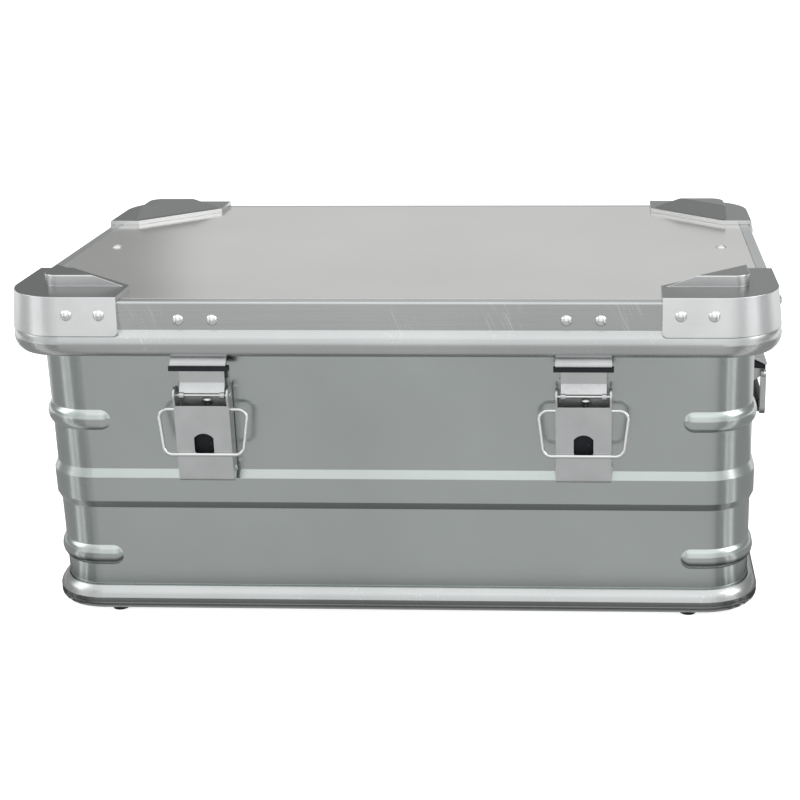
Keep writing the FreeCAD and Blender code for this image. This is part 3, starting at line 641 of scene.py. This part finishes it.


# Painted light and dark bands that the floor shows only in reflections, by compass direction.
FLOOR_BANDS = (
    (0.0, 0.57), (0.11, 0.56), (0.155, 0.46), (0.185, 0.18), (0.215, 0.50), (0.24, 0.16),
    (0.27, 0.30), (0.285, 1.95), (0.305, 0.30), (0.325, 0.20), (0.34, 1.30), (0.355, 0.25),
    (0.375, 1.95), (0.395, 0.30), (0.43, 0.36), (0.52, 0.38), (0.58, 0.80), (0.72, 0.80),
    (1.0, 0.80),
)
WALL_BANDS = (
    (0.0, 1.35), (0.15, 1.20), (0.22, 0.80), (0.30, 1.20), (0.38, 1.10), (0.45, 0.50),
    (0.60, 0.44), (0.906, 0.44), (0.920, 0.78), (1.0, 0.78),
)
OVERHEAD, OVERHEAD_FROM = 1.15, (0.5, 0.85)     # level above, and the heights it comes in at
CARD_TOP = 2.0                      # the strongest level that a band can have


def studio_bands(tree, direction, bands):
    """Brightness round the case, by compass direction: soft light and dark panels."""
    axes = add(tree, "ShaderNodeSeparateXYZ", {0: direction}).outputs
    back = maths(tree, "MULTIPLY", axes["Y"], -1.0)
    sideways = add(tree, "ShaderNodeMath", {0: axes["X"]}, operation="ABSOLUTE").outputs[0]
    angle = maths(tree, "ARCTAN2", sideways, back)
    share = maths(tree, "DIVIDE", angle, math.pi)
    ramp = add(tree, "ShaderNodeValToRGB", {"Fac": share})
    elements = ramp.color_ramp.elements
    while len(elements) < len(bands):
        elements.new(0.5)
    for element, (place, level) in zip(elements, bands):
        element.position = place
        element.color = (level / CARD_TOP,) * 3 + (1.0,)
    ramp.color_ramp.interpolation = "EASE"
    bright = add(tree, "ShaderNodeRGBToBW", {0: ramp.outputs[0]}).outputs[0]
    return maths(tree, "MULTIPLY", bright, CARD_TOP)


CORE = (0.2425, 0.1425, 0.0)        # half the footprint, up to where its corners begin to turn
# Painted shadow that the floor shows in reflections, dark close to the case, and how far it reaches.
CONTACT_REACH = (0.04, 0.055)       # distances from the core, in metres
SHADOW_REACH, SHADOW_LEVEL = (0.06, 0.11), 0.10
FAR_REACH, FAR_LEVEL = (1.24, 2.24), 1.8


def beyond_case(tree, place):
    """How far out of the case's core a place on the floor lies, with its direction."""
    off = vector_maths(tree, "SUBTRACT", vector_maths(tree, "ABSOLUTE", place).outputs[0], CORE)
    outside = vector_maths(tree, "MAXIMUM", off.outputs[0]).outputs[0]
    side = vector_maths(tree, "SIGN", place).outputs[0]
    return vector_maths(tree, "MULTIPLY", outside, side).outputs[0]


def floor_falloff(tree, beyond):
    """Share of the floor's brightness in reflections: a painted shadow dark close to the case, brighter far off.
    """
    distance = vector_maths(tree, "LENGTH", beyond).outputs["Value"]
    near = between(tree, distance, *SHADOW_REACH, SHADOW_LEVEL, 1.0)
    contact = between(tree, distance, *CONTACT_REACH, 1.0 - SHADOW_LEVEL, 0.0)
    far = between(tree, distance, *FAR_REACH, 1.0, FAR_LEVEL)
    return maths(tree, "MULTIPLY", maths(tree, "ADD", near, contact), far)


def mixed(tree, mask, value, other):
    """A linked value mixed towards a plain one by a mask."""
    node = add(tree, "ShaderNodeMix", data_type="FLOAT")
    tree.links.new(mask, node.inputs[0])
    tree.links.new(value, node.inputs[2])
    node.inputs[3].default_value = other
    return node.outputs[0]


def make_world(strength):
    """Surroundings that light and are reflected as bands, and that the camera sees plain."""
    world = bpy.data.worlds.new("studio")
    bpy.context.scene.world = world
    world.use_nodes = True
    tree = world.node_tree
    direction = add(tree, "ShaderNodeTexCoord").outputs["Generated"]
    height = add(tree, "ShaderNodeSeparateXYZ", {0: direction}).outputs["Z"]
    bands = studio_bands(tree, direction, WALL_BANDS)
    level = mixed(tree, between(tree, height, *OVERHEAD_FROM), bands, OVERHEAD)
    by_camera = add(tree, "ShaderNodeLightPath").outputs["Is Camera Ray"]
    seen = mixed(tree, by_camera, maths(tree, "MULTIPLY", level, strength), 1.0)
    tree.links.new(seen, tree.nodes["Background"].inputs["Strength"])
    tree.nodes["Background"].inputs["Color"].default_value = (0.98, 1.0, 0.995, 1.0)


FLOOR_SIZE, FLOOR_GLOW = 60.0, 0.70


def make_floor(colour):
    """Pale floor, plain to the camera, which the metals reflect as soft cards: painted bands of light and dark,
    and a painted shadow close to the case.
    """
    clear_selection()
    bpy.ops.mesh.primitive_plane_add(size=FLOOR_SIZE)
    floor = named("floor")
    material = bpy.data.materials.new("floor_painted_for_reflections")
    material.use_nodes = True
    tree = material.node_tree
    shader = tree.nodes["Principled BSDF"]
    shader.inputs["Base Color"].default_value = tuple(colour) + (1.0,)
    shader.inputs["Roughness"].default_value = 1.0
    shader.inputs["Specular IOR Level"].default_value = 0.0
    paths = add(tree, "ShaderNodeLightPath").outputs
    place = add(tree, "ShaderNodeTexCoord").outputs["Object"]
    beyond = beyond_case(tree, place)
    # Painted reflection: glossy rays see the floor glow in bands, darkened by a painted shadow close to the case.
    seen = maths(tree, "MULTIPLY", studio_bands(tree, beyond, FLOOR_BANDS),
                 floor_falloff(tree, beyond))
    painted_reflection = add(tree, "ShaderNodeEmission", {"Strength": seen}).outputs[0]
    lit = add(tree, "ShaderNodeEmission", {"Strength": FLOOR_GLOW}).outputs[0]
    bright = add(tree, "ShaderNodeAddShader", {0: shader.outputs[0], 1: lit}).outputs[0]
    mix = add(tree, "ShaderNodeMixShader", {0: paths["Is Glossy Ray"], 1: bright, 2: painted_reflection})
    tree.links.new(mix.outputs[0], tree.nodes["Material Output"].inputs["Surface"])
    floor.data.materials.append(material)


class CASE_OT_stage(bpy.types.Operator):
    """Make the floor, the lights and the camera"""

    bl_idname = "case.stage"
    bl_label = "Stage"

    def execute(self, context):
        stage = context.scene.case_stage
        context.scene.view_settings.view_transform = "Standard"
        make_floor(stage.floor)
        make_world(stage.world)
        for name, place, aim, width, height, power in (
            ("key_light", (0.2, -1.5, 2.6), 0.1, 4.0, 3.0, stage.key),
            ("left_light", (-2.4, -0.4, 1.5), 0.15, 1.2, 1.4, stage.fill),
            ("right_light", (2.2, -0.6, 1.6), 0.15, 1.2, 1.4, stage.fill * 1.5),
        ):
            area_light(name, place, (0, 0, aim), width, height, power)
        make_camera()
        return {"FINISHED"}


# ---- panel and registration --------------------------------------------------------------------
STEPS = ("shared_effects", "finish_sheet", "finish_frames", "finish_fittings", "finish_rubber",
         "stay_straps", "latch_springs", "stage")


class CASE_PT_panel(bpy.types.Panel):
    """Steps and values of the transport case"""

    bl_idname = "CASE_PT_panel"
    bl_label = "Transport case"
    bl_space_type = "VIEW_3D"
    bl_region_type = "UI"
    bl_category = "Case"

    def draw(self, context):
        for step in STEPS:
            self.layout.operator("case." + step)
        for group in (context.scene.case_finishes, context.scene.case_sizes,
                      context.scene.case_stage):
            box = self.layout.box()
            for name in group.__annotations__:
                box.prop(group, name)


CLASSES = (
    CaseFinishes, CaseSizes, CaseStage, CASE_OT_shared_effects, CASE_OT_finish_sheet,
    CASE_OT_finish_frames, CASE_OT_finish_fittings, CASE_OT_finish_rubber, CASE_OT_stay_straps,
    CASE_OT_latch_springs, CASE_OT_stage, CASE_PT_panel,
)


def register():
    for cls in CLASSES:
        bpy.utils.register_class(cls)
    bpy.types.Scene.case_finishes = PointerProperty(type=CaseFinishes)
    bpy.types.Scene.case_sizes = PointerProperty(type=CaseSizes)
    bpy.types.Scene.case_stage = PointerProperty(type=CaseStage)


def unregister():
    for name in ("case_finishes", "case_sizes", "case_stage"):
        delattr(bpy.types.Scene, name)
    for cls in reversed(CLASSES):
        bpy.utils.unregister_class(cls)


def main():
    register()
    for step in STEPS:
        getattr(bpy.ops.case, step)()


if __name__ == "__main__":
    main()
